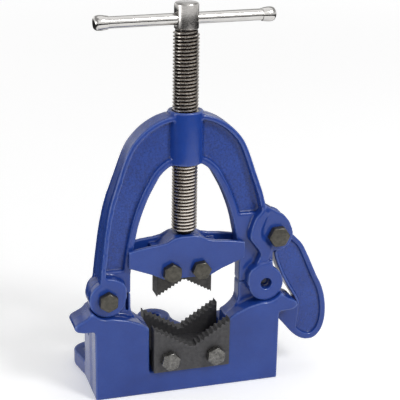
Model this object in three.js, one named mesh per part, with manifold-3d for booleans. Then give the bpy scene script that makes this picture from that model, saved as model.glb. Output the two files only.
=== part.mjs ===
// Hinged yoke pipe vise: a cast base and arch, a screw-driven upper jaw, a bolted lower jaw and a latch hook.
// Millimetres, +Z up, +Y to the back. The origin is under the screw's axis, on the underside of the base.
import * as THREE from 'three';
import { mergeVertices } from 'three/addons/utils/BufferGeometryUtils.js';
import Module from 'manifold-3d';

const wasm = await Module();
wasm.setup();

// Clearances
const gap = 0.3;
const holeGap = 0.4;
const runGap = 1;
const overrun = 8;

// Base casting
const baseHalf = 72.4;
const pivotInset = 10.4;
const lugInset = 9.9;
const baseFront = 17.7;
const railHalf = 6.3;
const blockHeight = 44;
const flangeThick = 12.5;
const lugX = baseHalf - lugInset;
const lugY = 47;
const lugRadius = 14;
const tailY = 90;
const tailThick = 15;
const mountHole = 5.2;
const hornLevel = 56.4;
const hornReach = 15.2;
const hornHeight = 15.8;
const shoulderLevel = 54.6;
const backWallLevel = 36;

// Hinge line of the arch
const pivotX = baseHalf - pivotInset;
const pivotZ = 80.1;
const railInset = 19.4;
const tongueRadius = 13;
const cheekRadius = 13.8;
const backCheekRadius = 11;
const cheekFront = 14.8;
const jointLevel = 80.2;
const slotWide = 2.2;
const slotDeep = 5;
const slotInset = 1.9;
const openingHalf = pivotX - railInset;

// Arch casting
const legOverhang = 5.7;
const archHalf = pivotX + legOverhang;
const archTop = 215;
const rimDepthTop = 9;
const rimDepthFoot = 13.4;
const rimWidth = 3.8;
const railWidth = 5.6;
const webHalf = 3.5;
const bossRadius = 13.2;
const bossLow = 177.9;
const bossHigh = 217.7;
const ledgeLevel = 136;
const footLevel = 99;
const footInset = 14.8;

// Screw and handle
const threadRadius = 9.525;
const threadPitch = 2.54;
const threadDepth = 1.45;
const threadLow = 124.6;
const threadHigh = 276.6;
const neckRadius = 6.4;
const stemRadius = 4.8;
const grooveRadius = 3.8;
const ringThick = 3;
const headRadius = 8.85;
const headHeight = 18.9;
const headChamfer = 1.2;
const handleDrop = 11.6;
const rodRadius = 4.2;
const handleLength = 136.6;
const handleTurn = 4.5;
const knobRadius = 5.4;
const knobLength = 10.5;

// Carrier of the upper jaw
const carrierLap = 2.4;
const carrierHalf = openingHalf + carrierLap;
const carrierLow = 90.3;
const carrierHigh = 123.4;
const cheekInner = 7.3;
const cheekThick = 4;

// Jaws
const jawInset = 11.8;
const lowerJawHalf = openingHalf - jawInset;
const lowerJawDepth = 42;
const wallThick = 4;
const blockRear = lowerJawDepth / 2 + wallThick;
const lowerJawBottom = 18.9;
const lowerJawTop = 57.1;
const lowerJawApex = 38.2;
const channelHalf = 12;
const channelFloor = 33;
const upperJawHalf = 21.3;
const upperJawThick = 14;
const upperJawTip = 75.1;
const upperJawApex = 87.2;
const upperJawTop = 104;
const carrierRoof = upperJawTop + neckRadius;
const ringRadius = cheekInner - holeGap;
const ringTop = carrierRoof - gap;
const ringBottom = ringTop - ringThick;
const toothShare = 0.42;
const lowerTeeth = 10;
const upperTeeth = 8;
const lowerJawTrim = 2.8;
const lowerShift = 1.6;
const upperShift = -1.3;

// Bolts and nuts
const boltRadius = 4;
const boltAcross = 13;
const boltHeadHeight = 5.5;
const nutHeight = 6.5;
const boltEnd = 2;
const upperBoltShare = 0.53;
const upperBoltX = upperJawHalf * upperBoltShare;
const upperBoltPlaces = [upperShift - upperBoltX, upperShift + upperBoltX];
const upperBoltZ = 96.6;
const lowerBoltShare = 0.58;
const lowerBoltX = lowerJawHalf * lowerBoltShare;
const lowerBoltPlaces = [lowerShift - lowerBoltX, lowerShift + lowerBoltX];
const lowerBoltZ = 29.2;
const hookBoltAcross = 14.5;

// Latch hook
const hookOffset = 3;
const hookPivotX = archHalf + hookOffset;
const hookPivotZ = 118;
const hookHalf = 7;
const hookEye = 12.2;
const earRadius = 12.6;
const earDepth = 12;
const ribTop = 136;
const hookLow = 24.7;
const hookReach = 45;
const hookOut = hookPivotX + hookReach;
const hookRim = 3.6;
const hookRimFoot = 5.6;
const hookInnerRim = 2.2;
const hookPocket = 2.5;

// Numbers of steps round a full circle and along a curve
const roundSteps = 40;
const boreSteps = 24;
const curveSteps = 28;
const threadSteps = 16;
const weld = 0.0001;

// Materials
const paint = { color: 0x3d5396, roughness: 0.42, metalness: 0 };
const blackSteel = { color: 0x4b4b4f, roughness: 0.5, metalness: 0.7 };
const boltSteel = { color: 0x5c5b58, roughness: 0.45, metalness: 0.8 };
const screwSteel = { color: 0x8f8981, roughness: 0.35, metalness: 0.9 };
const brightSteel = { color: 0xc9c7c3, roughness: 0.2, metalness: 1 };

function solidOf(geometry) {
  geometry.deleteAttribute('normal');
  geometry.deleteAttribute('uv');
  const merged = mergeVertices(geometry, weld);
  return new wasm.Manifold(new wasm.Mesh({
    numProp: 3,
    vertProperties: new Float32Array(merged.attributes.position.array),
    triVerts: new Uint32Array(merged.index.array),
  }));
}

function geometryOf(solid) {
  const mesh = solid.getMesh();
  const geometry = new THREE.BufferGeometry();
  geometry.setAttribute('position', new THREE.BufferAttribute(mesh.vertProperties, mesh.numProp));
  geometry.setIndex(new THREE.BufferAttribute(mesh.triVerts, 1));
  geometry.computeVertexNormals();
  return geometry;
}

const join = (...solids) => solids.reduce((whole, next) => whole.add(next));
const cut = (whole, ...cutters) => cutters.reduce((rest, next) => rest.subtract(next), whole);

function extruded(outline, depth) {
  const shape = new THREE.Shape(outline.map(([a, b]) => new THREE.Vector2(a, b)));
  return new THREE.ExtrudeGeometry(shape, { depth, bevelEnabled: false });
}

// An outline in X and Z, run from one Y to another
function prismY(outline, front, back) {
  const geometry = extruded(outline, back - front);
  geometry.rotateX(Math.PI / 2);
  geometry.translate(0, back, 0);
  return solidOf(geometry);
}

// An outline in Y and Z, run from one X to another
function prismX(outline, left, right) {
  const geometry = extruded(outline, right - left);
  const turn = new THREE.Matrix4().makeBasis(
    new THREE.Vector3(0, 1, 0), new THREE.Vector3(0, 0, 1), new THREE.Vector3(1, 0, 0));
  geometry.applyMatrix4(turn);
  geometry.translate(left, 0, 0);
  return solidOf(geometry);
}

// An outline in X and Y, run from one Z to another
function prismZ(outline, low, high) {
  const geometry = extruded(outline, high - low);
  geometry.translate(0, 0, low);
  return solidOf(geometry);
}

function discY(radius, x, z, front, back, steps = roundSteps) {
  const geometry = new THREE.CylinderGeometry(radius, radius, back - front, steps);
  geometry.translate(x, (front + back) / 2, z);
  return solidOf(geometry);
}

function discZ(radius, x, y, low, high, steps = roundSteps) {
  const geometry = new THREE.CylinderGeometry(radius, radius, high - low, steps);
  geometry.rotateX(Math.PI / 2);
  geometry.translate(x, y, (low + high) / 2);
  return solidOf(geometry);
}

function box(left, right, front, back, low, high) {
  const geometry = new THREE.BoxGeometry(right - left, back - front, high - low);
  geometry.translate((left + right) / 2, (front + back) / 2, (low + high) / 2);
  return solidOf(geometry);
}

// A closed profile of [radius, height] pairs turned about Z
function turned(profile, steps = roundSteps) {
  const points = profile.map(([radius, height]) => new THREE.Vector2(radius, height));
  const geometry = new THREE.LatheGeometry(points, steps);
  geometry.rotateX(Math.PI / 2);
  return solidOf(geometry);
}

function arc(x, z, radius, fromDegrees, toDegrees, steps) {
  const points = [];
  for (let i = 0; i <= steps; i += 1) {
    const angle = THREE.MathUtils.degToRad(fromDegrees + ((toDegrees - fromDegrees) * i) / steps);
    points.push([x + radius * Math.cos(angle), z + radius * Math.sin(angle)]);
  }
  return points;
}

function smooth(points, steps = curveSteps) {
  const curve = new THREE.SplineCurve(points.map(([a, b]) => new THREE.Vector2(a, b)));
  return curve.getPoints(steps).map((point) => [point.x, point.y]);
}

const flip = (points) => points.map(([x, z]) => [-x, z]).reverse();
const bothSides = (points) => [...points, ...flip(points)];
const mirrorX = (solid) => solid.mirror([1, 0, 0]);

// The line that runs beside a line, to its right for a positive distance, which may change along it
function beside(points, startDistance, endDistance = startDistance) {
  return points.map(([x, z], i) => {
    const distance = startDistance + ((endDistance - startDistance) * i) / (points.length - 1);
    const before = points[Math.max(i - 1, 0)];
    const after = points[Math.min(i + 1, points.length - 1)];
    const run = Math.hypot(after[0] - before[0], after[1] - before[1]);
    return [x + (distance * (after[1] - before[1])) / run, z - (distance * (after[0] - before[0])) / run];
  });
}

// Base: front plate with horns, tongues for the arch, rear block and bolt-down flange
const hornShares = [
  [0.5, 0.02], [0.8, 0.06], [0.97, 0.18], [1, 0.33], [0.9, 0.47], [0.7, 0.58],
  [0.47, 0.68], [0.3, 0.8], [0.2, 0.95]];
const shoulderShares = [[0.62, 0.8], [0.24, 0.42], [0, 0]];
const flareShares = [[1, 0.52], [0.93, 0.38], [0.76, 0.25], [0.42, 0.11], [0, 0]];
const flangeShares = [[0.82, 0.06], [0.56, 0.1], [0.36, 0.26], [0.26, 0.5]];

function hornOutline() {
  return smooth(hornShares.map(([out, up]) => [baseHalf + hornReach * out, hornLevel + hornHeight * up]),
    2 * (hornShares.length - 1));
}

function lowerOutline() {
  return [[0, 0], [baseHalf, 0], [baseHalf, hornLevel], ...hornOutline()];
}

// Front of the plate, hollowed round the arch's cheeks
function facePlate() {
  const reliefRadius = cheekRadius + runGap / 2;
  const relief = arc(pivotX, pivotZ, reliefRadius, -36, -100, curveSteps / 2);
  const [endX, endZ] = relief[relief.length - 1];
  const shoulder = shoulderShares.map(([out, up]) => [
    lowerJawHalf + (endX - lowerJawHalf) * out, shoulderLevel + (endZ - shoulderLevel) * up]);
  const outline = [...lowerOutline(), ...relief, ...shoulder, [0, shoulderLevel]];
  const half = prismY(outline, -baseFront, -railHalf);
  return join(half, mirrorX(half));
}

// Middle of the plate, with the tongue that the arch's foot straddles
function tonguePlate() {
  const round = arc(pivotX, pivotZ, tongueRadius, -38, 180, curveSteps);
  const flare = flareShares.map(([out, up]) => [
    lowerJawHalf + (openingHalf - lowerJawHalf) * out, shoulderLevel + (jointLevel - shoulderLevel) * up]);
  const outline = [...lowerOutline(), ...round, [openingHalf, jointLevel], ...flare, [0, shoulderLevel]];
  const half = prismY(outline, -railHalf, railHalf);
  return join(half, mirrorX(half));
}

function flange() {
  const lug = arc(lugX, lugY, lugRadius, -18, 112, curveSteps / 2);
  const tail = arc(0, tailY, lugRadius, 12, 90, curveSteps / 2);
  const reach = tailY - lugY;
  const sweep = flangeShares.map(([out, back]) => [lugX * out, lugY + lugRadius + reach * back]);
  const outline = [[0, railHalf], [baseHalf, railHalf], [baseHalf, blockRear], ...lug, ...sweep, ...tail];
  const half = prismZ(outline, 0, flangeThick);
  return join(half, mirrorX(half), discZ(lugRadius, 0, tailY, 0, tailThick));
}

// Groove in the left tongue's front, beside the round cheek of the arch's foot
function cheekSlot() {
  const near = openingHalf + slotInset;
  return box(-near - slotWide, -near, -railHalf - overrun, slotDeep - railHalf,
    pivotZ - cheekRadius, pivotZ + cheekRadius);
}

function baseSolid() {
  const jawRear = lowerJawDepth / 2 + gap;
  const notchHalf = lowerJawHalf + gap;
  const block = box(-baseHalf, baseHalf, railHalf - gap, blockRear, 0, blockHeight);
  const body = join(facePlate(), tonguePlate(), block, flange());
  const notch = box(-notchHalf, notchHalf, -baseFront - overrun, jawRear, lowerJawBottom - gap, archTop);
  const wall = box(-notchHalf, notchHalf, 0, blockRear + overrun, backWallLevel, archTop);
  const tailHole = discZ(mountHole, 0, tailY, -overrun, tailThick + overrun, boreSteps);
  const cuts = [notch, wall, tailHole, cheekSlot()];
  for (const side of [-1, 1]) {
    cuts.push(discZ(mountHole, side * lugX, lugY, -overrun, flangeThick + overrun, boreSteps));
    cuts.push(discY(boltRadius + holeGap, side * pivotX, pivotZ, -baseFront, baseFront, boreSteps));
  }
  for (const x of lowerBoltPlaces) {
    cuts.push(discY(boltRadius + holeGap, x, lowerBoltZ, 0, blockRear + overrun, boreSteps));
  }
  return cut(body, ...cuts);
}

// Points of a toothed edge from one point to another; the teeth's roots lie to the edge's left
function toothed(from, to, count) {
  const run = Math.hypot(to[0] - from[0], to[1] - from[1]);
  const inward = [(from[1] - to[1]) / run, (to[0] - from[0]) / run];
  const toothDepth = (toothShare * run) / count;
  const points = [];
  for (let i = 0; i <= count * 2; i += 1) {
    const along = i / (count * 2);
    const deep = i % 2 === 1 ? toothDepth : 0;
    points.push([
      from[0] + (to[0] - from[0]) * along + inward[0] * deep,
      from[1] + (to[1] - from[1]) * along + inward[1] * deep]);
  }
  return points;
}

function boltHole(x, z, reach) {
  return discY(boltRadius + holeGap, x, z, -reach, reach, boreSteps);
}

function lowerJawSolid() {
  const depth = lowerJawDepth / 2;
  const outline = [
    [-lowerJawHalf, lowerJawBottom],
    [lowerJawHalf, lowerJawBottom],
    ...toothed([lowerJawHalf, lowerJawTop], [lowerShift, lowerJawApex], lowerTeeth),
    ...toothed([lowerShift, lowerJawApex], [-lowerJawHalf, lowerJawTop], lowerTeeth).slice(1),
  ];
  const channel = box(-baseHalf, baseHalf, -channelHalf, channelHalf, channelFloor, archTop);
  const trim = box(-baseHalf, lowerJawTrim - lowerJawHalf, -baseHalf, baseHalf, 0, archTop);
  return cut(prismY(outline, -depth, depth), channel, trim,
    ...lowerBoltPlaces.map((x) => boltHole(x, lowerBoltZ, baseHalf)));
}

function upperJawSolid() {
  const left = upperShift - upperJawHalf;
  const right = upperShift + upperJawHalf;
  const outline = [
    [right, upperJawTop],
    [left, upperJawTop],
    ...toothed([left, upperJawTip], [upperShift, upperJawApex], upperTeeth),
    ...toothed([upperShift, upperJawApex], [right, upperJawTip], upperTeeth).slice(1),
  ];
  return cut(prismY(outline, -upperJawThick / 2, upperJawThick / 2),
    ...upperBoltPlaces.map((x) => boltHole(x, upperBoltZ, baseHalf)));
}

// Arch: outlines as shares of its half-width and of its height over the hinge line
const archOuterShares = [
  [1, 0.088], [0.982, 0.17], [0.953, 0.28], [0.93, 0.37], [0.875, 0.51], [0.801, 0.625],
  [0.703, 0.766], [0.622, 0.852], [0.489, 0.926], [0.33, 0.977], [0.19, 1]];
const archInnerShares = [
  [1, 0.1], [0.99, 0.2], [0.944, 0.35], [0.9, 0.45], [0.853, 0.543], [0.772, 0.652],
  [0.671, 0.761], [0.578, 0.839], [0.478, 0.915], [0.396, 0.955], [0.303, 0.986]];
const footShares = [[0.06, 1], [0.28, 0.89], [0.5, 0.86], [0.7, 0.77], [0.88, 0.64], [0.98, 0.44], [1, 0]];
const ribLeftShares = [
  [0.27, 1], [0.33, 0.95], [0.42, 0.88], [0.54, 0.8], [0.63, 0.665], [0.68, 0.54], [0.66, 0.45],
  [0.52, 0.345], [0.385, 0.23], [0.39, 0.15], [0.46, 0.075], [0.5, 0]];
const ribRightShares = [
  [0.2, 0], [0.13, 0.13], [0.06, 0.29], [0.23, 0.415], [0.37, 0.53], [0.33, 0.665],
  [0.25, 0.78], [0.18, 0.87]];
const earTopShares = [[0.91, 0.41], [0.74, 0.83], [0.39, 1.26], [0.06, 1.46], [-0.26, 1.64], [-0.58, 1.83]];
const earRearShares = [[0.9, 0.4], [0.82, 0.78], [0.6, 1.03], [0.3, 1.2], [0.03, 1.27], [-0.5, 1.35]];
const railEndShare = 0.15;

const archOuter = smooth(archOuterShares.map(([out, up]) => [
  archHalf * out, pivotZ + (archTop - pivotZ) * up]));
const archInner = smooth(archInnerShares.map(([out, up]) => [
  openingHalf * out, pivotZ + (bossLow - pivotZ) * up]));

function archWeb() {
  const inner = [[openingHalf, jointLevel + gap], ...archInner];
  const half = [[0, bossLow], ...[...inner].reverse(), ...archOuter, [0, archTop]];
  const solid = prismY(half, -webHalf, webHalf);
  return join(solid, mirrorX(solid));
}

// Raised rims along the outer and inner edges; the outer one is deeper toward the feet
function archRims() {
  const outerLine = [...archOuter, [0, archTop]];
  const outerBand = [...outerLine, ...beside(outerLine, -rimWidth).reverse()];
  const shoulder = archTop - (hookPivotZ - pivotZ);
  const taper = [
    [-cheekFront, 0], [rimDepthFoot, 0], [rimDepthFoot, hookPivotZ],
    [rimDepthTop, shoulder], [rimDepthTop, archTop + overrun],
    [-rimDepthTop, archTop + overrun], [-rimDepthTop, shoulder], [-rimDepthFoot, hookPivotZ],
    [-cheekFront, footLevel]];
  const outer = prismY(outerBand, -cheekFront, rimDepthFoot)
    .intersect(prismX(taper, 0, archHalf + overrun));
  const overEars = box(0, archHalf + overrun, -cheekFront, rimDepthFoot, ribTop, archTop + overrun);
  const railEnd = [openingHalf * railEndShare, bossLow + runGap];
  const innerLine = [[openingHalf, jointLevel + gap], ...archInner, railEnd];
  const inner = prismY([...innerLine, ...beside(innerLine, railWidth).reverse()], -railHalf, railHalf);
  return join(mirrorX(outer), outer.intersect(overEars), inner, mirrorX(inner));
}

// Foot of one leg: a round cheek in front of the base's tongue and a smaller one behind it
function archFoot() {
  const footTop = footLevel;
  const side = pivotX - footInset;
  const crown = footShares.map(([inward, up]) => [
    archHalf - (archHalf - side) * inward, pivotZ + (footTop - pivotZ) * up]);
  const edge = pivotZ + (archTop - pivotZ) * archOuterShares[0][1];
  const outline = [[archHalf, pivotZ], [archHalf, edge], ...crown];
  const front = join(discY(cheekRadius, pivotX, pivotZ, -cheekFront, 0), prismY(outline, -cheekFront, 0));
  const backHalf = backCheekRadius * Math.SQRT1_2;
  const backOutline = [
    [pivotX - backHalf - gap, pivotZ], [pivotX + backHalf - gap, pivotZ],
    [archHalf, edge], crown[0], [side, footTop]];
  const backDisc = discY(backCheekRadius, pivotX, pivotZ, 0, rimDepthFoot);
  const back = join(backDisc, prismY(backOutline, 0, rimDepthFoot));
  return join(front, back);
}

// Ears for the hook on the right leg; the outer rim swings round them as a rib and lands on the foot
function hookEars() {
  const ribLow = pivotZ + cheekRadius;
  const ribHigh = hookPivotZ + 2 * earRadius;
  const spread = hookPivotX - openingHalf;
  const ribPlace = ([inward, up]) => [archHalf - spread * inward, ribLow + (ribHigh - ribLow) * up];
  const ribLeft = smooth(ribLeftShares.map(ribPlace));
  const ribRight = smooth(ribRightShares.map(ribPlace));
  const earPlace = ([out, up]) => [hookPivotX + earRadius * out, hookPivotZ + earRadius * up];
  const lower = [
    ...ribLeft,
    [archHalf, ribLow],
    [archHalf, hookPivotZ - earRadius],
    ...arc(hookPivotX, hookPivotZ, earRadius, -80, 12, curveSteps / 2)];
  return join(
    prismY([...ribLeft, ...ribRight], -rimDepthFoot, rimDepthFoot),
    prismY([...lower, ...earTopShares.map(earPlace)], -earDepth, 0),
    prismY([...lower, ...earRearShares.map(earPlace)], 0, earDepth));
}

// Thickened web at the foot of a leg, up to a ledge
function lowerWeb(ledge) {
  const half = join(
    box(openingHalf, archHalf - rimWidth, -railHalf, railHalf, jointLevel + gap, ledge),
    box(0, openingHalf, -railHalf, railHalf, pivotZ + footInset, ledge));
  const inner = [[openingHalf, jointLevel + gap], ...archInner];
  const leg = [[0, bossLow], ...[...inner].reverse(), ...archOuter, [0, archTop]];
  return half.intersect(prismY(leg, -railHalf, railHalf));
}

function yokeSolid() {
  const foot = archFoot();
  const body = join(archWeb(), archRims(), foot, mirrorX(foot), mirrorX(lowerWeb(footLevel)),
    lowerWeb(ledgeLevel), hookEars(), discZ(bossRadius, 0, 0, bossLow, bossHigh));
  const slotHalf = railHalf + gap;
  const slotRadius = cheekRadius + gap;
  const slot = join(
    discY(slotRadius, pivotX, pivotZ, -slotHalf, slotHalf),
    box(pivotX - slotRadius, archHalf + earRadius, -slotHalf, slotHalf, hornLevel, pivotZ),
    box(openingHalf - overrun, pivotX, -slotHalf, slotHalf, hornLevel, jointLevel + gap));
  const earHalf = hookHalf + holeGap;
  const earSlot = join(
    discY(hookEye + runGap, hookPivotX, hookPivotZ, -earHalf, earHalf),
    box(archHalf, hookOut, -earHalf, earHalf, hookPivotZ - hookEye, hookPivotZ + 2 * earRadius));
  const nutBore = discZ(threadRadius + holeGap, 0, 0, bossLow - overrun, bossHigh + overrun);
  return cut(body, slot, mirrorX(slot), earSlot, nutBore,
    boltHole(pivotX, pivotZ, baseHalf), boltHole(-pivotX, pivotZ, baseHalf),
    boltHole(hookPivotX, hookPivotZ, baseHalf));
}

// Hook: outer and inner edges as shares of its reach beyond and below its pivot
const hookOuterShares = [
  [0.3, 0.02], [0.49, 0.11], [0.6, 0.205], [0.7, 0.31], [0.8, 0.415], [0.89, 0.5], [0.96, 0.6], [0.995, 0.7],
  [1, 0.79], [0.975, 0.87], [0.92, 0.935], [0.82, 0.985], [0.7, 1], [0.54, 0.98], [0.38, 0.92], [0.24, 0.84],
  [0.15, 0.79]];
const hookInnerShares = [[0.455, 0.655], [0.41, 0.6], [0.27, 0.49], [0.14, 0.37], [0.04, 0.25], [0, 0.17]];

function hookSolid() {
  const reach = hookOut - hookPivotX;
  const drop = hookPivotZ - hookLow;
  const place = ([out, down]) => [hookPivotX + reach * out, hookPivotZ - drop * down];
  const outer = smooth(hookOuterShares.map(place), 2 * curveSteps);
  const inner = smooth(hookInnerShares.map(place), curveSteps / 2);
  const noseX = baseHalf + runGap;
  const noseTop = hornOutline().slice(0, 5).reverse().map(([x, z]) => [x, z - gap - gap]);
  const nose = [...noseTop, [noseX, hornLevel - gap - gap], [noseX, hornLevel - hookEye / 2]];
  const outline = [...outer, ...nose.reverse(), ...inner];
  const rimOuter = beside(outer, hookRim, hookRimFoot).slice(0, -curveSteps / 4);
  const rimInner = beside(inner, hookInnerRim);
  const pocket = [...rimOuter, ...rimInner];
  const plate = cut(prismY(outline, -hookHalf, hookHalf),
    prismY(pocket, -hookHalf - overrun, -hookHalf + hookPocket),
    prismY(pocket, hookHalf - hookPocket, hookHalf + overrun));
  return cut(join(plate, discY(hookEye, hookPivotX, hookPivotZ, -hookHalf, hookHalf)),
    discY(boltRadius + holeGap, hookPivotX, hookPivotZ, -baseHalf, baseHalf, boreSteps));
}

// Carrier: two cheeks that straddle the rails, joined over the upper jaw by a block with the screw's seat
const carrierTopShares = [[1, 0.739], [0.7, 0.811], [0.49, 0.838], [0.35, 0.877], [0.22, 0.97], [0.1, 1]];
const carrierLowShares = [[0.4, 0], [0.6, 0.141], [1, 0.351]];

function carrierSolid() {
  const tall = carrierHigh - carrierLow;
  const place = ([out, up]) => [carrierHalf * out, carrierLow + tall * up];
  const half = [...carrierLowShares.map(place), ...carrierTopShares.map(place)];
  const cheekOutline = bothSides(half);
  const cheekOuter = cheekInner + cheekThick;
  const front = prismY(cheekOutline, -cheekOuter, -cheekInner);
  const back = prismY(cheekOutline, cheekInner, cheekOuter);
  const roof = carrierRoof;
  const coreHalf = upperJawHalf + cheekThick;
  const core = box(-coreHalf, coreHalf, -cheekInner, cheekInner, roof, roof + cheekThick);
  const humpTop = carrierHigh - gap;
  const hump = prismY([
    [-coreHalf, roof], [coreHalf, roof], [headRadius, humpTop], [-headRadius, humpTop],
  ], -cheekInner, cheekInner);
  const reach = cheekOuter + overrun;
  return cut(join(front, back, core, hump),
    discZ(stemRadius + holeGap, 0, 0, carrierLow, carrierHigh + overrun, boreSteps),
    ...upperBoltPlaces.map((x) => boltHole(x, upperBoltZ, reach)));
}

// A right-hand thread: crests and roots wind up in step, and a fan closes each end
function threadSolid() {
  const turns = Math.floor((threadHigh - threadLow) / threadPitch);
  const last = turns * threadSteps;
  const start = threadHigh - turns * threadPitch;
  const positions = [];
  const faces = [];
  const add = (radius, turn, height) => {
    const angle = turn * 2 * Math.PI;
    return positions.push(radius * Math.cos(angle), radius * Math.sin(angle), height) / 3 - 1;
  };
  const crests = [];
  const roots = [];
  for (let i = 0; i <= last; i += 1) {
    const turn = i / threadSteps;
    crests.push(add(threadRadius, turn, start + threadPitch * turn));
    if (i <= last - threadSteps) {
      roots.push(add(threadRadius - threadDepth, turn, start + threadPitch * (turn + 1 / 2)));
    }
  }
  const end = last - threadSteps;
  for (let i = 0; i < end; i += 1) {
    const next = i + 1;
    faces.push(crests[i], crests[next], roots[next], crests[i], roots[next], roots[i]);
    faces.push(roots[i], roots[next], crests[next + threadSteps]);
    faces.push(roots[i], crests[next + threadSteps], crests[i + threadSteps]);
  }
  const bottom = add(0, 0, start);
  const top = add(0, 0, threadHigh);
  for (let i = 0; i < threadSteps; i += 1) {
    faces.push(bottom, crests[i + 1], crests[i], top, crests[end + i], crests[end + i + 1]);
  }
  faces.push(bottom, roots[0], crests[threadSteps], bottom, crests[0], roots[0]);
  faces.push(top, roots[end], crests[end], top, crests[last], roots[end]);
  return new wasm.Manifold(new wasm.Mesh({
    numProp: 3, vertProperties: new Float32Array(positions), triVerts: new Uint32Array(faces) }));
}

// Screw: threaded shank, plain neck with a ring groove, and a bored head
function screwSolid() {
  const headTop = threadHigh + headHeight;
  const coreRadius = threadRadius - threadDepth - gap;
  const profile = [
    [0, upperJawTop + runGap],
    [stemRadius, upperJawTop + runGap],
    [stemRadius, ringBottom - gap],
    [grooveRadius, ringBottom - gap],
    [grooveRadius, ringTop + gap],
    [stemRadius, ringTop + gap],
    [stemRadius, carrierHigh + gap],
    [neckRadius, carrierHigh + gap],
    [neckRadius, threadLow],
    [coreRadius, threadLow + (coreRadius - neckRadius) / 2],
    [coreRadius, threadHigh - gap],
    [headRadius, threadHigh + headChamfer],
    [headRadius, headTop - headChamfer],
    [headRadius - headChamfer, headTop],
    [0, headTop]];
  const bore = new THREE.CylinderGeometry(
    rodRadius + gap, rodRadius + gap, 2 * (headRadius + overrun), boreSteps);
  bore.rotateZ(Math.PI / 2);
  bore.rotateZ(THREE.MathUtils.degToRad(handleTurn));
  bore.translate(0, 0, headTop - handleDrop);
  return cut(join(turned(profile), threadSolid()), solidOf(bore));
}

function ringSolid() {
  const inner = grooveRadius + gap;
  const bore = discZ(inner, 0, 0, ringBottom - gap, ringTop + gap);
  return cut(discZ(ringRadius, 0, 0, ringBottom, ringTop), bore);
}

// Handle pieces lie along X about their own middle
const rodOverlap = 0.7;

function rodSolid() {
  const half = handleLength / 2 - knobLength * (1 - rodOverlap);
  return turned([[0, -half], [rodRadius, -half], [rodRadius, half], [0, half]], boreSteps);
}

function knobSolid() {
  const socket = rodRadius + gap;
  const floor = knobLength * rodOverlap + gap;
  const round = knobRadius / 3;
  return turned([
    [socket, 0], [knobRadius - round / 2, 0], [knobRadius, round / 2], [knobRadius, knobLength - round],
    [knobRadius - round / 3, knobLength - round / 3], [knobRadius - round, knobLength], [0, knobLength],
    [0, floor], [socket, floor], [socket, 0]], boreSteps);
}

// A hexagon bolt along Y; its head is in front of zero and its shank behind
function boltSolid(length, across) {
  const corner = across / Math.sqrt(3);
  const head = new THREE.CylinderGeometry(corner, corner, boltHeadHeight, 6);
  head.translate(0, -boltHeadHeight / 2 - gap, 0);
  return join(solidOf(head), discY(boltRadius, 0, 0, -boltHeadHeight / 2, length, boreSteps));
}

function nutSolid(across) {
  const corner = across / Math.sqrt(3);
  const body = new THREE.CylinderGeometry(corner, corner, nutHeight, 6);
  body.translate(0, nutHeight / 2 + gap, 0);
  return cut(solidOf(body), discY(boltRadius + gap, 0, 0, 0, nutHeight + overrun, boreSteps));
}

function piece(name, solid, look) {
  const mesh = new THREE.Mesh(geometryOf(solid), new THREE.MeshStandardMaterial(look));
  mesh.name = name;
  return mesh;
}

function placed(mesh, x, y, z) {
  mesh.position.set(x, y, z);
  return mesh;
}

// A bolt through a stack from its front face to its rear face, with its nut behind
function fastener(boltName, nutName, x, z, front, rear, across) {
  const length = rear - front + gap + nutHeight + boltEnd;
  return [
    placed(piece(boltName, boltSolid(length, across), boltSteel), x, front, z),
    placed(piece(nutName, nutSolid(across), boltSteel), x, rear, z)];
}

const vise = new THREE.Group();
const jawFront = lowerJawDepth / 2;
const carrierFace = cheekInner + cheekThick;

const fixed = new THREE.Group();
fixed.add(piece('base', baseSolid(), paint));
fixed.add(piece('lower_jaw', lowerJawSolid(), blackSteel));
fixed.add(...fastener('lower_jaw_bolt_left', 'lower_jaw_nut_left',
  lowerBoltPlaces[0], lowerBoltZ, -jawFront, blockRear, boltAcross));
fixed.add(...fastener('lower_jaw_bolt_right', 'lower_jaw_nut_right',
  lowerBoltPlaces[1], lowerBoltZ, -jawFront, blockRear, boltAcross));
fixed.add(...fastener('pivot_bolt', 'pivot_nut', -pivotX, pivotZ, -cheekFront, rimDepthFoot, boltAcross));
vise.add(fixed);

const arch = new THREE.Group();
arch.add(piece('yoke', yokeSolid(), paint));
arch.add(...fastener('hook_bolt', 'hook_nut', hookPivotX, hookPivotZ, -earDepth, earDepth, hookBoltAcross));
arch.add(piece('hook', hookSolid(), paint));
vise.add(arch);

const slider = new THREE.Group();
slider.add(piece('carrier', carrierSolid(), paint));
slider.add(piece('upper_jaw', upperJawSolid(), blackSteel));
slider.add(...fastener('upper_jaw_bolt_left', 'upper_jaw_nut_left',
  upperBoltPlaces[0], upperBoltZ, -carrierFace, carrierFace, boltAcross));
slider.add(...fastener('upper_jaw_bolt_right', 'upper_jaw_nut_right',
  upperBoltPlaces[1], upperBoltZ, -carrierFace, carrierFace, boltAcross));
arch.add(slider);

const drive = new THREE.Group();
drive.add(piece('screw', screwSolid(), screwSteel));
drive.add(piece('screw_ring', ringSolid(), boltSteel));
const handle = new THREE.Group();
handle.position.set(0, 0, threadHigh + headHeight - handleDrop);
handle.rotation.z = THREE.MathUtils.degToRad(handleTurn);
const rod = piece('handle_rod', rodSolid(), brightSteel);
rod.rotation.y = Math.PI / 2;
const knobPlace = handleLength / 2 - knobLength;
const knobRight = placed(piece('handle_knob_right', knobSolid(), brightSteel), knobPlace, 0, 0);
knobRight.rotation.y = Math.PI / 2;
const knobLeft = placed(piece('handle_knob_left', knobSolid(), brightSteel), -knobPlace, 0, 0);
knobLeft.rotation.y = -Math.PI / 2;
handle.add(rod, knobLeft, knobRight);
drive.add(handle);
slider.add(drive);

export default vise;
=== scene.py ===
import math

import bmesh
import bpy
from mathutils import Matrix, Vector


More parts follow.
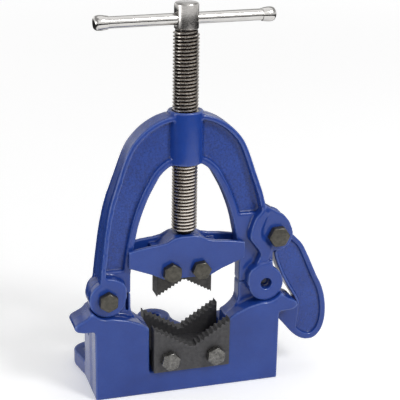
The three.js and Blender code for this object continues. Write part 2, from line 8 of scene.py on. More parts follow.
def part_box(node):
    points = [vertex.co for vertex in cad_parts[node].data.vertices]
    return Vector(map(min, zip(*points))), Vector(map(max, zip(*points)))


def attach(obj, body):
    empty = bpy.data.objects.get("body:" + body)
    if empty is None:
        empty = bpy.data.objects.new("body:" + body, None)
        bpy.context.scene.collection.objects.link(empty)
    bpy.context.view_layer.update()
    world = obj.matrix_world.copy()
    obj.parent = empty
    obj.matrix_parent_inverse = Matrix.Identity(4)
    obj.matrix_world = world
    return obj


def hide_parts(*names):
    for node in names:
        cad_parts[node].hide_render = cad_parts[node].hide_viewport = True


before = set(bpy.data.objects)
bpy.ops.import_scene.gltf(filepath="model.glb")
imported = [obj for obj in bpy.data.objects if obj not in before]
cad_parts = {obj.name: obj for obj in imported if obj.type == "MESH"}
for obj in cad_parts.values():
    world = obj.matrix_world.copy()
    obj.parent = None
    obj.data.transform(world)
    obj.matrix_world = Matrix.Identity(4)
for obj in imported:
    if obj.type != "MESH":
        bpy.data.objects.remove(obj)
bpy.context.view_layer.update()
print("frame loaded:", len(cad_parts), "nodes")

mm = 0.001
fineWeld, coarseWeld = 1e-7, 1e-6  # metres: points of own shapes and of the frame's that are taken as one


def addObject(name, data):
    holder = bpy.data.objects.new(name, data)
    bpy.context.scene.collection.objects.link(holder)
    return holder


# Photo camera: spot, turn and lens that line the arch, the base and the handle up with the picture
camera = {"spot": (-0.22867, -0.77696, 0.42857), "azimuth": -17.222, "elevation": 19.075, "roll": 0.948,
          "lens": 103.79, "sensor": 36, "clip": (0.02, 20)}


def setCamera():
    azimuth, elevation = math.radians(camera["azimuth"]), math.radians(camera["elevation"])
    back = Vector((math.sin(azimuth) * math.cos(elevation), -math.cos(azimuth) * math.cos(elevation),
                   math.sin(elevation)))
    right = Vector((math.cos(azimuth), math.sin(azimuth), 0))
    up = back.cross(right)
    roll = Matrix.Rotation(-math.radians(camera["roll"]), 3, "Z")
    data = bpy.data.cameras.new("photoCamera")
    data.lens = camera["lens"]
    data.sensor_width = camera["sensor"]
    data.sensor_fit = "HORIZONTAL"
    data.clip_start, data.clip_end = camera["clip"]
    holder = addObject("photoCamera", data)
    turn = Matrix((right, up, back)).transposed() @ roll.inverted()
    holder.matrix_world = Matrix.Translation(camera["spot"]) @ turn.to_4x4()
    bpy.context.scene.camera = holder


setCamera()
print("camera set")


def srgb(colour):
    def linear(value):
        value /= 255
        return value / 12.92 if value <= 0.04045 else ((value + 0.055) / 1.055) ** 2.4
    return (*(linear(value) for value in colour), 1)


def grey(value):
    return (value, value, value, 1)


# Node helpers shared by the finishes, the floor and the surroundings
class NodeTree:
    def __init__(self, tree):
        self.tree = tree

    def add(self, kind, **settings):
        node = self.tree.nodes.new(kind)
        for key, value in settings.items():
            setattr(node, key, value)
        return node

    def join(self, source, target):
        self.tree.links.new(source, target)

    def parts(self, source):
        split = self.add("ShaderNodeSeparateXYZ")
        self.join(source, split.inputs[0])
        return split.outputs

    def maths(self, operation, *sources):
        node = self.add("ShaderNodeMath", operation=operation)
        for source, socket in zip(sources, node.inputs):
            self.join(source, socket)
        return node.outputs[0]

    def between(self, source, low, high, first=0, last=1):
        # first where the source is at low, last where it is at high
        node = self.add("ShaderNodeMapRange")
        for name, value in (("From Min", low), ("From Max", high), ("To Min", first), ("To Max", last)):
            node.inputs[name].default_value = value
        self.join(source, node.inputs["Value"])
        return node.outputs["Result"]

    def ramp(self, source, stops):
        # stops of level and value: a colour of 0 to 255, or one number for a grey
        node = self.add("ShaderNodeValToRGB")
        elements = node.color_ramp.elements
        while len(elements) < len(stops):
            elements.new(0.5)
        for element, (level, value) in zip(elements, stops):
            element.position = level
            element.color = srgb(value) if isinstance(value, tuple) else grey(value)
        self.join(source, node.inputs["Fac"])
        return node.outputs["Color"]

    def rayShare(self, low, high):
        # low for the light that the object gets, high for what the camera and mirrors see
        path = self.add("ShaderNodeLightPath").outputs
        seen = path["Is Camera Ray"]
        for name in ("Is Glossy Ray", "Is Transmission Ray"):
            seen = self.maths("MAXIMUM", seen, path[name])
        return self.between(seen, 0, 1, low, high)


class Look(NodeTree):
    def __init__(self, name):
        self.material = bpy.data.materials.new(name)
        self.material.use_nodes = True
        super().__init__(self.material.node_tree)
        self.shader = self.tree.nodes["Principled BSDF"]
        self.place = self.add("ShaderNodeTexCoord").outputs["Object"]

    def noise(self, values, stretch=(1, 1, 1)):
        # values are size in metres, detail and roughness
        size, detail, rough = values
        spread = self.add("ShaderNodeMapping")
        spread.inputs["Scale"].default_value = stretch
        self.join(self.place, spread.inputs["Vector"])
        node = self.add("ShaderNodeTexNoise")
        node.inputs["Scale"].default_value = 1 / size
        node.inputs["Detail"].default_value = detail
        node.inputs["Roughness"].default_value = rough
        self.join(spread.outputs["Vector"], node.inputs["Vector"])
        return node.outputs["Fac"]

    def fromAxis(self):
        # distance from the screw's axis
        parts = self.parts(self.place)
        flat = self.add("ShaderNodeCombineXYZ")
        self.join(parts["X"], flat.inputs["X"])
        self.join(parts["Y"], flat.inputs["Y"])
        length = self.add("ShaderNodeVectorMath", operation="LENGTH")
        self.join(flat.outputs[0], length.inputs[0])
        return length.outputs["Value"]

    def offMiddle(self):
        # depth to the front or the back of the arch's middle plane
        return self.maths("ABSOLUTE", self.parts(self.place)["Y"])

    def mix(self, first, second, share, blend="MIX"):
        node = self.add("ShaderNodeMix", data_type="RGBA", blend_type=blend)
        for socket, value in ((node.inputs[0], share), (node.inputs[6], first), (node.inputs[7], second)):
            if isinstance(value, bpy.types.NodeSocket):
                self.join(value, socket)
            else:
                socket.default_value = value
        return node.outputs[2]

    def bump(self, layers):
        # layers of height, depth in metres and strength
        last = None
        for height, depth, strength in layers:
            node = self.add("ShaderNodeBump")
            node.inputs["Distance"].default_value = depth
            node.inputs["Strength"].default_value = strength
            self.join(height, node.inputs["Height"])
            if last:
                self.join(last, node.inputs["Normal"])
            last = node.outputs["Normal"]
        self.join(last, self.shader.inputs["Normal"])


# In the finishes a noise is its size, detail and roughness, tones are the stops of a ramp, and a relief is
# its depth and strength

# Castings' paint: glossy blue, smooth outside, sandy in the arch's webs, with painted shade darkening the
# creases and a painted highlight lightening the edges
enamel = {
    "cloud": (0.035, 4, 0.55),
    "cloudTones": [(0.3, (24, 55, 132)), (0.5, (29, 62, 142)), (0.75, (35, 69, 151))],
    "speck": (0.0013, 3, 0.7), "speckTones": [(0.28, 0.9), (0.6, 1.0)],
    "sandyTo": 0.0042, "smoothFrom": 0.006,
    "sand": (0.0016, 3, 0.7), "sandTones": [(0.32, 0.62), (0.64, 1.25)], "sandRelief": (0.0003, 0.6),
    # painted shade: the paint darkened in creases
    "creaseShadeTones": [(0.45, 0.45), (0.492, 1.0)],
    # painted highlight: the paint lightened along convex edges
    "edge": (118, 142, 204), "edgeHighlightTones": [(0.518, 0.0), (0.556, 0.5)],
    "sheen": (0.006, 3, 0.6), "sheenTones": [(0.3, 0.13), (0.7, 0.22)], "webRoughness": 0.14, "specular": 0.5,
    "swell": (0.012, 3, 0.5), "swellRelief": (0.0005, 0.25),
    "cast": (0.0016, 3, 0.6), "castRelief": (0.00003, 0.4),
    "skin": (0.0005, 2, 0.5), "skinRelief": (0.00003, 0.25),
}


def blueEnamel():
    look = Look("blueEnamel")
    cloud = look.ramp(look.noise(enamel["cloud"]), enamel["cloudTones"])
    speck = look.ramp(look.noise(enamel["speck"]), enamel["speckTones"])
    web = look.between(look.offMiddle(), enamel["smoothFrom"], enamel["sandyTo"])
    sand = look.noise(enamel["sand"])
    grain = look.mix(grey(1), look.ramp(sand, enamel["sandTones"]), web)
    tone = look.mix(look.mix(cloud, speck, 1, "MULTIPLY"), grain, 1, "MULTIPLY")
    bend = look.add("ShaderNodeNewGeometry").outputs["Pointiness"]
    # painted shade in the creases, found by pointiness
    crease = look.ramp(bend, enamel["creaseShadeTones"])
    # painted highlight along convex edges, found by pointiness
    edgeHighlight = look.ramp(bend, enamel["edgeHighlightTones"])
    edged = look.mix(look.mix(tone, crease, 1, "MULTIPLY"), srgb(enamel["edge"]), edgeHighlight)
    look.join(edged, look.shader.inputs["Base Color"])
    smooth = look.ramp(look.noise(enamel["sheen"]), enamel["sheenTones"])
    rough = look.mix(smooth, look.mix(smooth, grey(enamel["webRoughness"]), 1, "ADD"), web)
    look.join(rough, look.shader.inputs["Roughness"])
    look.shader.inputs["Specular IOR Level"].default_value = enamel["specular"]
    sanded = look.mix(grey(0.5), sand, web)
    look.bump([(look.noise(enamel["swell"]), *enamel["swellRelief"]), (sanded, *enamel["sandRelief"]),
               (look.noise(enamel["cast"]), *enamel["castRelief"]),
               (look.noise(enamel["skin"]), *enamel["skinRelief"])])
    return look.material


# Dark steels: the two tones of their mottle, middle roughness, size of the grain and share of metal
darkSteels = {
    "blackedSteel": {"dark": (60, 60, 62), "light": (84, 83, 84), "roughness": 0.5, "grain": 0.0012,
                     "metal": 0.55},
    # a darker copy of blackedSteel: painted shade for the upper jaw, which sits in the carrier's shadow
    "paintedShadeJawSteel": {"dark": (50, 50, 50), "light": (72, 70, 68), "roughness": 0.5, "grain": 0.0012,
                       "metal": 0.55},
    "phosphatedSteel": {"dark": (66, 65, 60), "light": (95, 92, 85), "roughness": 0.34, "grain": 0.0009,
                        "metal": 0.85},
    "rubbedSteel": {"dark": (66, 66, 65), "light": (136, 134, 130), "roughness": 0.28, "grain": 0.0009,
                    "metal": 0.9},
}
darkSurface = {"levels": (0.3, 0.7), "mottle": (0.003, 5, 0.65), "sheen": (0.002, 4, 0.6),
               "smoother": 0.08, "rougher": 0.12, "grainKind": (4, 0.6), "grainRelief": (0.0001, 0.5),
               "skin": (0.0005, 2, 0.5), "skinRelief": (0.00003, 0.4)}


def darkSteel(name):
    values = darkSteels[name]
    look = Look(name)
    low, high = darkSurface["levels"]
    mottle = look.ramp(look.noise(darkSurface["mottle"]), [(low, values["dark"]), (high, values["light"])])
    look.join(mottle, look.shader.inputs["Base Color"])
    look.shader.inputs["Metallic"].default_value = values["metal"]
    smoothest = values["roughness"] - darkSurface["smoother"]
    roughest = values["roughness"] + darkSurface["rougher"]
    rough = look.ramp(look.noise(darkSurface["sheen"]), [(low, smoothest), (high, roughest)])
    look.join(rough, look.shader.inputs["Roughness"])
    grain = look.noise((values["grain"], *darkSurface["grainKind"]))
    look.bump([(grain, *darkSurface["grainRelief"]),
               (look.noise(darkSurface["skin"]), *darkSurface["skinRelief"])])
    return look.material


# Screw: darker roots and lighter crests, told apart by their distance from the axis: painted shade in the
# roots and a painted highlight on the crests
screwLook = {
    "root": 0.00805, "crest": 0.00952,
    "rootShadeCrestHighlightTones": [(0.05, (36, 32, 30)), (0.4, (146, 136, 126)), (0.85, (232, 225, 217))],
    "stain": (0.004, 4, 0.6), "stainTones": [(0.3, 0.78), (0.65, 1.0)], "metal": 0.92,
    "sheen": (0.002, 3, 0.6), "sheenTones": [(0.3, 0.18), (0.7, 0.3)],
    "grain": (0.0006, 3, 0.6), "grainRelief": (0.00003, 0.5),
}


def paintedShadeScrewSteel():
    look = Look("paintedShadeScrewSteel")
    depth = look.between(look.fromAxis(), screwLook["root"], screwLook["crest"])
    # painted shade darkens the thread's roots and a painted highlight lightens its crests
    tone = look.ramp(depth, screwLook["rootShadeCrestHighlightTones"])
    stain = look.ramp(look.noise(screwLook["stain"]), screwLook["stainTones"])
    look.join(look.mix(tone, stain, 1, "MULTIPLY"), look.shader.inputs["Base Color"])
    look.shader.inputs["Metallic"].default_value = screwLook["metal"]
    rough = look.ramp(look.noise(screwLook["sheen"]), screwLook["sheenTones"])
    look.join(rough, look.shader.inputs["Roughness"])
    look.bump([(look.noise(screwLook["grain"]), *screwLook["grainRelief"])])
    return look.material


# Bright parts: turning lines under a polish, the noise squeezed across those lines
brightLooks = {
    "turnedHead": {"tones": [(0.3, (176, 173, 170)), (0.7, (206, 203, 200))],
                   "sheenTones": [(0.3, 0.2), (0.7, 0.3)], "squeeze": (1, 1, 6)},
    "polishedBar": {"tones": [(0.3, (188, 186, 184)), (0.7, (210, 208, 205))],
                    "sheenTones": [(0.3, 0.1), (0.7, 0.17)], "squeeze": (0.2, 3, 3)},
}
brightSurface = {"cloud": (0.003, 4, 0.6), "sheen": (0.0012, 4, 0.65), "lines": (0.0008, 3, 0.6),
                 "lineRelief": (0.00001, 0.2)}


def brightSteel(name):
    look = Look(name)
    values = brightLooks[name]
    squeeze = values["squeeze"]
    tone = look.ramp(look.noise(brightSurface["cloud"], squeeze), values["tones"])
    look.join(tone, look.shader.inputs["Base Color"])
    look.shader.inputs["Metallic"].default_value = 1
    rough = look.ramp(look.noise(brightSurface["sheen"], squeeze), values["sheenTones"])
    look.join(rough, look.shader.inputs["Roughness"])
    look.bump([(look.noise(brightSurface["lines"], squeeze), *brightSurface["lineRelief"])])
    return look.material


finishes = {
    "paint": blueEnamel(),
    "jaw": darkSteel("blackedSteel"),
    # upper jaw's steel darkened as painted shade
    "upperJaw": darkSteel("paintedShadeJawSteel"),
    "bolt": darkSteel("phosphatedSteel"),
    "rubbedBolt": darkSteel("rubbedSteel"),
    "screw": paintedShadeScrewSteel(),
    "head": brightSteel("turnedHead"),
    "bar": brightSteel("polishedBar"),
}
print("finishes made:", len(finishes))


# Shared shaping steps
sharpAngle = 32  # degrees: a steeper fold than this keeps its crease in the shading


def vertsOf(geometry):
    return [part for part in geometry if isinstance(part, bmesh.types.BMVert)]


def edgesOf(geometry):
    return [part for part in geometry if isinstance(part, bmesh.types.BMEdge)]


def meshOf(name, shape):
    mesh = bpy.data.meshes.new(name)
    shape.to_mesh(mesh)
    shape.free()
    return mesh


def turned(profile, steps):
    # a line of radius and height pairs, in millimetres, spun once round Z
    shape = bmesh.new()
    points = [shape.verts.new((radius * mm, 0, height * mm)) for radius, height in profile]
    lines = [shape.edges.new(pair) for pair in zip(points, points[1:])]
    bmesh.ops.spin(shape, geom=points + lines, cent=(0, 0, 0), axis=(0, 0, 1), angle=math.tau, steps=steps,
                   use_merge=True)
    bmesh.ops.remove_doubles(shape, verts=shape.verts, dist=fineWeld)
    bmesh.ops.recalc_face_normals(shape, faces=shape.faces)
    return shape


# Thread ridges: depth in the core, foot and crest as shares of a pitch, turns over which an end runs out,
# and the part of a step that the very end keeps
ridgeValues = {"sunk": 0.25, "foot": (0.07, 0.93), "crest": (0.36, 0.64), "runOut": 0.5, "endStep": 0.3}


def threadRidge(radius, depth, pitch, low, high, steps):
    # one ridge, wound right-handed from low to high, that runs out at both ends
    shape = bmesh.new()
    root = radius - depth
    under = root - ridgeValues["sunk"]
    footLow, footHigh = ridgeValues["foot"]
    crestLow, crestHigh = ridgeValues["crest"]
    section = [(under, 0), (root, footLow), (radius, crestLow),
               (radius, crestHigh), (root, footHigh), (under, 1)]
    points = [shape.verts.new((out * mm, 0, (low + share * pitch) * mm)) for out, share in section]
    lines = [shape.edges.new((points[i - 1], points[i])) for i in range(len(points))]
    turns = (high - low) / pitch - 1
    count = round(turns * steps)
    bmesh.ops.spin(shape, geom=points + lines, cent=(0, 0, 0), axis=(0, 0, 1), angle=math.tau * count / steps,
                   steps=count, dvec=(0, 0, pitch / steps * mm))
    shape.verts.ensure_lookup_table()
    fade = ridgeValues["runOut"] * steps
    for i, point in enumerate(shape.verts):
        step = i // len(section)
        fromEnd = min(step, count - step) + ridgeValues["endStep"]
        share = min(1, fromEnd / fade)
        out = point.co.xy.length
        if share < 1 and out > under * mm:
            point.co.xy *= (under * mm + (out - under * mm) * share) / out
    ends = [edge for edge in shape.edges if edge.is_boundary]
    bmesh.ops.holes_fill(shape, edges=ends, sides=len(section))
    bmesh.ops.recalc_face_normals(shape, faces=shape.faces)
    return shape


def joined(*parts):
    whole = bmesh.new()
    for part in parts:
        mesh = meshOf("part", part)
        whole.from_mesh(mesh)
        bpy.data.meshes.remove(mesh)
    return whole


def softened(shape, width, segments, angle):
    # bevels every edge that folds by more than angle
    fold = math.radians(angle)
    edges = [edge for edge in shape.edges if edge.is_manifold and edge.calc_face_angle() > fold]
    bmesh.ops.bevel(shape, geom=edges, offset=width * mm, segments=segments, profile=0.5, affect="EDGES",
                    material=-1, clamp_overlap=True)
    return shape


def moved(shape, turn, place=(0, 0, 0)):
    bmesh.ops.transform(shape, matrix=Matrix.Translation(place) @ turn, verts=shape.verts)
    return shape


def evaluatedMesh(name, mesh, modifiers):
    # the mesh as its modifiers leave it, with none of them live
    rough = addObject(name + "Rough", mesh)
    for kind, settings in modifiers:
        modifier = rough.modifiers.new(kind.lower(), kind)
        for key, value in settings.items():
            setattr(modifier, key, value)
    evaluated = rough.evaluated_get(bpy.context.evaluated_depsgraph_get())
    result = bpy.data.meshes.new_from_object(evaluated)
    bpy.data.objects.remove(rough)
    result.name = name
    return result


def nodeBox(node):
    # low and high corners in millimetres
    return [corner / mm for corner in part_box(node)]


def addPiece(name, mesh, body, nodes, look):
    piece = addObject(name, mesh)
    mesh.materials.clear()
    mesh.materials.append(finishes[look])
    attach(piece, body)
    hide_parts(*nodes)


def addShape(name, shape, body, nodes, look):
    mesh = meshOf(name, shape)
    mesh.polygons.foreach_set("use_smooth", [True] * len(mesh.polygons))
    mesh.set_sharp_from_angle(angle=math.radians(sharpAngle))
    addPiece(name, mesh, body, nodes, look)


# Castings: the frame's own shapes, their sharp edges melted round as a sand mould leaves them.
# Size of a voxel in millimetres and rounds of smoothing
castings = {
    "base": {"voxel": 0.85, "melt": 8},
    "yoke": {"voxel": 0.8, "melt": 9},
    "hook": {"voxel": 0.6, "melt": 10},
    "carrier": {"voxel": 0.6, "melt": 6},
}
meltFactor = 0.5


def meltedCopy(node, voxel, melt):
    shape = bmesh.new()
    shape.from_mesh(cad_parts[node].data)
    bmesh.ops.remove_doubles(shape, verts=shape.verts, dist=coarseWeld)
    melted = evaluatedMesh(node + "Casting", meshOf(node + "Merged", shape), [
        ("REMESH", {"mode": "VOXEL", "voxel_size": voxel * mm}),
        ("SMOOTH", {"factor": meltFactor, "iterations": melt})])
    melted.polygons.foreach_set("use_smooth", [True] * len(melted.polygons))
    return melted


for node, values in castings.items():
    melted = meltedCopy(node, values["voxel"], values["melt"])
    addPiece(node + "Casting", melted, node, [node], "paint")
    print(node, "casting made:", len(melted.polygons), "faces")


# Jaws: tips and apex of the vee, teeth on each wing, their depth as a share of their length, and edges as
# width, segments and least fold. The lower jaw is two toothed walls over a block, with a channel between them
lowerJaw = {"left": -31.1, "right": 31.1, "tip": 57.1, "apex": (1.6, 38.2), "teeth": 9, "toothShare": 0.46,
            "cutLeft": -28.3, "edge": (0.16, 1, 30), "wall": 9, "floor": 33, "floorInset": 0.1,
            "floorOverlap": 0.4, "floorEdge": (0.16, 2, 30)}
upperJaw = {"left": -22.6, "right": 20, "tip": 75.1, "apex": (-1.3, 87.2), "teeth": 8, "toothShare": 0.46,
            "edge": (0.14, 1, 30)}
flatAngle = 0.005  # radians: faces that meet flatter than this become one


def toothRow(shape, tip, apex, rootWay, values):
    # crests and roots in step from a jaw's tip to its apex
    count = values["teeth"]
    run = (apex - tip) / count
    inward = Vector((run.z, 0, -run.x)).normalized()
    if inward.z * rootWay < 0:
        inward.negate()
    root = run / 2 + inward * values["toothShare"] * run.length
    points = [shape.verts.new(tip + step) for step in (Vector(), root, run)]
    lines = [shape.edges.new(pair) for pair in zip(points, points[1:])]
    bmesh.ops.spin(shape, geom=points + lines, cent=(0, 0, 0), axis=(0, 0, 1), angle=0, steps=count - 1,
                   dvec=run, use_duplicate=True)


def toothedWall(values, flat, front, back):
    # both rows of teeth, run to the wall's flat edge and given their thickness
    shape = bmesh.new()
    apex = Vector((values["apex"][0], front, values["apex"][1])) * mm
    for side in ("left", "right"):
        tip = Vector((values[side], front, values["tip"])) * mm
        toothRow(shape, tip, apex, flat - values["apex"][1], values)
    bmesh.ops.remove_doubles(shape, verts=shape.verts, dist=fineWeld)
    skirt = bmesh.ops.extrude_edge_only(shape, edges=shape.edges[:])["geom"]
    for point in vertsOf(skirt):
        point.co.z = flat * mm
    bmesh.ops.recalc_face_normals(shape, faces=shape.faces)
    thick = bmesh.ops.extrude_face_region(shape, geom=shape.faces[:])["geom"]
    bmesh.ops.translate(shape, vec=(0, (back - front) * mm, 0), verts=vertsOf(thick))
    bmesh.ops.remove_doubles(shape, verts=shape.verts, dist=fineWeld)
    if "cutLeft" in values:
        everything = shape.verts[:] + shape.edges[:] + shape.faces[:]
        cut = bmesh.ops.bisect_plane(shape, geom=everything, plane_co=(values["cutLeft"] * mm, 0, 0),
                                     plane_no=(-1, 0, 0), clear_outer=True)["geom_cut"]
        bmesh.ops.holes_fill(shape, edges=edgesOf(cut), sides=0)
    bmesh.ops.dissolve_limit(shape, angle_limit=flatAngle, verts=shape.verts, edges=shape.edges)
    bmesh.ops.recalc_face_normals(shape, faces=shape.faces)
    return softened(shape, *values["edge"])


def block(low, high, edge):
    shape = bmesh.new()
    bmesh.ops.create_cube(shape, size=1)
    for point in shape.verts:
        point.co = [(a if sign < 0 else b) * mm for a, b, sign in zip(low, high, point.co)]
    return softened(shape, *edge)


def makeJaws():
    low, high = nodeBox("lower_jaw")
    wall, inset, overlap = lowerJaw["wall"], lowerJaw["floorInset"], lowerJaw["floorOverlap"]
    front = toothedWall(lowerJaw, low.z, low.y, low.y + wall)
    rear = toothedWall(lowerJaw, low.z, high.y - wall, high.y)
    floor = block((low.x + inset, low.y + wall - overlap, low.z + inset),
                  (high.x - inset, high.y - wall + overlap, lowerJaw["floor"]), lowerJaw["floorEdge"])
    addShape("lowerJaw", joined(front, rear, floor), "base", ["lower_jaw"], "jaw")
    low, high = nodeBox("upper_jaw")
    plate = toothedWall(upperJaw, high.z, low.y, high.y)
    addShape("upperJaw", plate, "carrier", ["upper_jaw"], "upperJaw")


makeJaws()
print("jaws made")


# Hexagon bolts and nuts, placed by the boxes of the nodes that they stand for
boltValues = {"headTall": 5.5, "faceShare": 0.92, "slope": 28, "edge": (0.18, 1, 24), "headSteps": 48,
              "shank": 4, "plain": 3.8, "rodSteps": 32, "sunk": 0.2, "runOut": 0.4, "pitch": 1.25,
              "threadDepth": 0.6, "threadTurns": 8, "threadSteps": 24, "boreGap": 0.12, "nutTurn": 11}
# Body that each bolt and its nut ride on, and the turn of the bolt's head in degrees
boltPlaces = {"pivot_bolt": ("base", 26), "hook_bolt": ("yoke", 3), "lower_jaw_bolt_left": ("base", 14),
              "lower_jaw_bolt_right": ("base", 21), "upper_jaw_bolt_left": ("carrier", 27),
              "upper_jaw_bolt_right": ("carrier", 7)}
faceFront = Matrix.Rotation(math.pi / 2, 4, "X")  # +Z to the front


def hexRing(points, across):
    # moves a ring of points out to a hexagon's sides
    for point in points:
        angle = math.atan2(point.co.y, point.co.x) % (math.pi / 3) - math.pi / 6
        point.co.xy *= across / 2 * mm / math.cos(angle) / point.co.xy.length


def hexPrism(across, tall, bore=0, under=False):
    # round face, sloped corners that meet the flats in arcs, then the flats
    shape = bmesh.new()
    steps = boltValues["headSteps"]
    faceRadius = across / 2 * boltValues["faceShare"]
    slope = math.tan(math.radians(boltValues["slope"]))

    def ring(edges):
        made = bmesh.ops.extrude_edge_only(shape, edges=edges)["geom"]
        return vertsOf(made), edgesOf(made)

    def sloped(points, level, way):
        hexRing(points, across)
        for point in points:
            point.co.z = level * mm + way * (point.co.xy.length - faceRadius * mm) * slope

    bmesh.ops.create_circle(shape, segments=steps, radius=faceRadius * mm)
    bmesh.ops.translate(shape, vec=(0, 0, tall * mm), verts=shape.verts)
    first = shape.edges[:]
    points, edges = ring(first)
    sloped(points, tall, -1)
    points, edges = ring(edges)
    if under:
        sloped(points, 0, 1)
        points, edges = ring(edges)
        for point in points:
            point.co.xy *= faceRadius * mm / point.co.xy.length
    for point in points:
        point.co.z = 0
    if bore:
        points, edges = ring(edges)
        for point in points:
            point.co.xy *= bore * mm / point.co.xy.length
        points, edges = ring(edges)
        for point in points:
            point.co.z = tall * mm
        bmesh.ops.bridge_loops(shape, edges=first + edges)
    else:
        bmesh.ops.holes_fill(shape, edges=first, sides=steps)
        bmesh.ops.holes_fill(shape, edges=edges, sides=steps)
    bmesh.ops.remove_doubles(shape, verts=shape.verts, dist=fineWeld)
    bmesh.ops.recalc_face_normals(shape, faces=shape.faces)
    return softened(shape, *boltValues["edge"])


def turnedHex(turn, *sizes):
    return moved(hexPrism(*sizes), Matrix.Rotation(math.radians(turn), 4, "Z"))


def makeBolt(node, body, turn):
    low, high = nodeBox(node)
    tall, shank, plain = boltValues["headTall"], boltValues["shank"], boltValues["plain"]
    depth, pitch, runOut = boltValues["threadDepth"], boltValues["pitch"], boltValues["runOut"]
    reach = high.y - low.y - tall
    core = shank - depth
    grip = reach - boltValues["threadTurns"] * pitch
    rod = turned([(0, boltValues["sunk"]), (plain, boltValues["sunk"]), (plain, -grip),
                  (core, -grip - runOut), (core, runOut - reach), (core - runOut, -reach), (0, -reach)],
                 boltValues["rodSteps"])
    ridge = threadRidge(shank, depth, pitch, runOut - reach, -grip, boltValues["threadSteps"])
    bolt = joined(turnedHex(turn, high.x - low.x, tall), rod, ridge)
    middle = (low + high) / 2 * mm
    moved(bolt, faceFront, (middle.x, (low.y + tall) * mm, middle.z))
    look = "rubbedBolt" if node.startswith("lower") else "bolt"
    addShape(node, bolt, body, [node], look)


def makeNut(node, body, turn):
    low, high = nodeBox(node)
    nut = turnedHex(turn, high.x - low.x, high.y - low.y, boltValues["shank"] + boltValues["boreGap"], True)
    middle = (low + high) / 2 * mm
    moved(nut, faceFront, (middle.x, high.y * mm, middle.z))
    addShape(node, nut, body, [node], "bolt")


for number, (node, (body, turn)) in enumerate(boltPlaces.items()):
    makeBolt(node, body, turn)
    makeNut(node.replace("bolt", "nut"), body, boltValues["nutTurn"] * number)
print("bolts and nuts made:", 2 * len(boltPlaces))


# Handle: polished bar with a pressed cap at each end. Its level and turn also place the bore in the
# screw's head
handle = {"rod": 4.2, "half": 68.3, "cap": 10.5, "inside": 7.3, "rodGap": 0.02, "endGap": 0.4, "steps": 64,
          "level": 283.9, "turn": 4.5}
capProfile = [(4.3, 0), (4.72, 0.25), (4.86, 1.2), (5.06, 2.6), (5.28, 4), (5.4, 5.6), (5.38, 7), (5.16, 8.4),
              (4.7, 9.4), (3.9, 10.1), (2.6, 10.42), (0, 10.5)]


def alongHandle(shape):
    turn = Matrix.Rotation(math.radians(handle["turn"]), 4, "Z") @ Matrix.Rotation(math.pi / 2, 4, "Y")
    return moved(shape, turn, (0, 0, handle["level"] * mm))


# Screw: wound thread on its core, neck with the ring's groove
screw = {"radius": 9.52, "depth": 1.5, "pitch": 2.54, "low": 124.2, "high": 277.0, "threadSteps": 40,
         "coreSteps": 64, "sunk": 0.5, "neck": 6.4, "neckSlope": 0.6, "stem": 4.8, "stemChamfer": 0.6,
         "shoulder": 123.7, "shoulderChamfer": 0.3, "groove": 3.8, "grooveLow": 106.8, "grooveHigh": 110.4,
         "ringGap": 0.3, "ringChamfer": 0.4, "ringSteps": 48}
# Screw's head: outlines of its foot and top as way in from the radius and way up from that end
head = {"radius": 8.85, "low": 276.6, "high": 295.5, "steps": 72, "bore": 4.5, "boreSteps": 48,
        "edge": (0.4, 2, 38), "foot": [(1.9, -1), (1.9, 0), (0.5, 0.2), (0, 0.8)],
        "top": [(0, -1.5), (0.25, -0.8), (0.75, -0.25), (1.5, 0)]}


def makeHead():
    radius, low, high, bore = head["radius"], head["low"], head["high"], head["bore"]
    foot = [(radius - inward, low + up) for inward, up in head["foot"]]
    top = [(radius - inward, high + up) for inward, up in head["top"]]
    cylinder = turned([(0, foot[0][1]), *foot, *top, (0, high)], head["steps"])
    reach = 2 * radius
    drill = turned([(0, -reach), (bore, -reach), (bore, reach), (0, reach)], head["boreSteps"])
    drillHolder = addObject("drill", meshOf("drill", alongHandle(drill)))
    bored = evaluatedMesh("boredHead", meshOf("head", cylinder), [
        ("BOOLEAN", {"operation": "DIFFERENCE", "solver": "EXACT", "object": drillHolder})])
    bpy.data.objects.remove(drillHolder)
    shape = bmesh.new()
    shape.from_mesh(bored)
    bmesh.ops.remove_doubles(shape, verts=shape.verts, dist=coarseWeld)
    return softened(shape, *head["edge"])


def makeScrew():
    root = screw["radius"] - screw["depth"]
    neck, stem, groove, shoulder = screw["neck"], screw["stem"], screw["groove"], screw["shoulder"]
    stemChamfer, shoulderChamfer = screw["stemChamfer"], screw["shoulderChamfer"]
    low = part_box("screw")[0].z / mm
    neckTop = screw["low"] + (root - neck) * screw["neckSlope"]
    coreTop = head["low"] - screw["sunk"]
    core = turned([(0, low), (stem - stemChamfer, low), (stem, low + stemChamfer),
                   (stem, screw["grooveLow"]), (groove, screw["grooveLow"]),
                   (groove, screw["grooveHigh"]), (stem, screw["grooveHigh"]),
                   (stem, shoulder), (neck - shoulderChamfer, shoulder), (neck, shoulder + shoulderChamfer),
                   (neck, screw["low"]), (root, neckTop), (root, coreTop), (0, coreTop)], screw["coreSteps"])
    ridge = threadRidge(screw["radius"], screw["depth"], screw["pitch"], screw["low"], screw["high"],
                        screw["threadSteps"])
    addShape("screwShank", joined(core, ridge), "screw", ["screw"], "screw")
    addShape("screwHead", makeHead(), "screw", ["screw"], "head")


def makeRing():
    low, high = nodeBox("screw_ring")
    outer, inner, chamfer = high.x, screw["groove"] + screw["ringGap"], screw["ringChamfer"]
    ring = turned([(inner, low.z), (outer - chamfer, low.z), (outer, low.z + chamfer),
                   (outer, high.z - chamfer), (outer - chamfer, high.z), (inner, high.z), (inner, low.z)],
                  screw["ringSteps"])
    addShape("screwRing", ring, "screw", ["screw_ring"], "bolt")


makeScrew()
makeRing()
print("screw made")


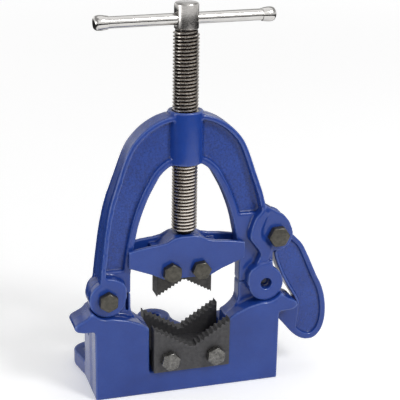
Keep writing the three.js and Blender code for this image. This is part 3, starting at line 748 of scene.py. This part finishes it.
def makeHandle():
    radius, start, inside = handle["rod"], handle["half"] - handle["cap"], handle["inside"]
    reach = start + inside
    rod = turned([(0, -reach), (radius, -reach), (radius, reach), (0, reach)], handle["steps"])
    addShape("handleRod", alongHandle(rod), "handle", ["handle_rod"], "bar")
    bore, boreEnd = radius + handle["rodGap"], inside + handle["endGap"]
    for name, node, way in (("handleCapRight", "handle_knob_right", 0),
                            ("handleCapLeft", "handle_knob_left", 180)):
        cap = turned([(0, boreEnd), (bore, boreEnd), (bore, 0), *capProfile], handle["steps"])
        bmesh.ops.translate(cap, vec=(0, 0, start * mm), verts=cap.verts)
        if way:
            moved(cap, Matrix.Rotation(math.radians(way), 4, "Y"))
        addShape(name, alongHandle(cap), "handle", [node], "bar")


makeHandle()
print("handle made")


# Floor and surroundings. The sky's stops go from straight down at 0 to straight up at 1
studio = {"floor": (240, 240, 240), "floorHalf": 4, "floorRoughness": 0.9, "nearGlow": 0.33, "farGlow": 0.66,
          "glowReach": 1.9, "sky": [(0.49, 0.66), (0.58, 0.66), (0.72, 0.3), (0.95, 0.26)], "seenSky": 1.46,
          "aim": (0, 0, 0.15)}
# Softboxes: spot, width, height, power
softboxes = {"key": ((0.7, -1.05, 1.15), 0.35, 0.35, 10), "frontTop": ((0.36, -0.98, 1.1), 1.5, 1.1, 4.3),
             "overhead": ((0.25, 0.15, 1.5), 1.3, 1.0, 3.5), "leftSide": ((-1.4, -0.25, 0.35), 0.5, 0.7, 4.5),
             "backLeft": ((-0.75, 1.25, 0.75), 0.7, 0.8, 0.8)}
darkCard = {"inner": 0.45, "outer": 3.6, "middle": (0.15, -0.2), "lift": 0.001, "steps": 96,
            "tone": (60, 60, 61)}


def addSoftbox(name, spot, width, height, power):
    data = bpy.data.lights.new(name, "AREA")
    data.shape = "RECTANGLE"
    data.size, data.size_y = width, height
    data.energy = power
    lamp = addObject(name, data)
    lamp.location = spot
    lamp.visible_camera = False
    lamp.rotation_euler = (Vector(spot) - Vector(studio["aim"])).to_track_quat("Z", "Y").to_euler()


def makeFloor():
    # pale to the camera and to mirrors by its own glow, so that the lamps needn't light it white
    shape = bmesh.new()
    bmesh.ops.create_grid(shape, x_segments=2, y_segments=2, size=studio["floorHalf"])
    floor = addObject("floor", meshOf("floor", shape))
    look = Look("paleFloor")
    look.shader.inputs["Base Color"].default_value = srgb(studio["floor"])
    look.shader.inputs["Roughness"].default_value = studio["floorRoughness"]
    look.shader.inputs["Emission Color"].default_value = grey(1)
    glow = look.between(look.fromAxis(), 0, studio["glowReach"], studio["nearGlow"], studio["farGlow"])
    strength = look.maths("MULTIPLY", look.rayShare(0, 1), glow)
    look.join(strength, look.shader.inputs["Emission Strength"])
    floor.data.materials.append(look.material)


def makeDarkCard():
    # a matt grey ring laid round the object, well away from it, that only reflections see:
    # it gives the bright steel its dark lines
    shape = bmesh.new()
    for radius in (darkCard["inner"], darkCard["outer"]):
        bmesh.ops.create_circle(shape, segments=darkCard["steps"], radius=radius)
    bmesh.ops.bridge_loops(shape, edges=shape.edges[:])
    bmesh.ops.translate(shape, vec=(*darkCard["middle"], darkCard["lift"]), verts=shape.verts)
    bmesh.ops.recalc_face_normals(shape, faces=shape.faces)
    card = addObject("darkCard", meshOf("darkCard", shape))
    look = Look("blackCard")
    look.shader.inputs["Base Color"].default_value = srgb(darkCard["tone"])
    look.shader.inputs["Roughness"].default_value = 1
    look.shader.inputs["Specular IOR Level"].default_value = 0
    card.data.materials.append(look.material)
    card.visible_camera = card.visible_diffuse = card.visible_shadow = card.visible_transmission = False


def makeStudio():
    # surroundings that are pale at the horizon and darker overhead
    world = bpy.data.worlds.new("studio")
    bpy.context.scene.world = world
    world.use_nodes = True
    sky = NodeTree(world.node_tree)
    way = sky.add("ShaderNodeTexCoord").outputs["Generated"]
    height = sky.between(sky.parts(way)["Z"], -1, 1)
    background = world.node_tree.nodes["Background"]
    sky.join(sky.ramp(height, studio["sky"]), background.inputs["Color"])
    sky.join(sky.rayShare(1, studio["seenSky"]), background.inputs["Strength"])
    for name, values in softboxes.items():
        addSoftbox(name, *values)


makeFloor()
makeDarkCard()
makeStudio()
bpy.context.scene.view_settings.view_transform = "Standard"
print("studio lit")
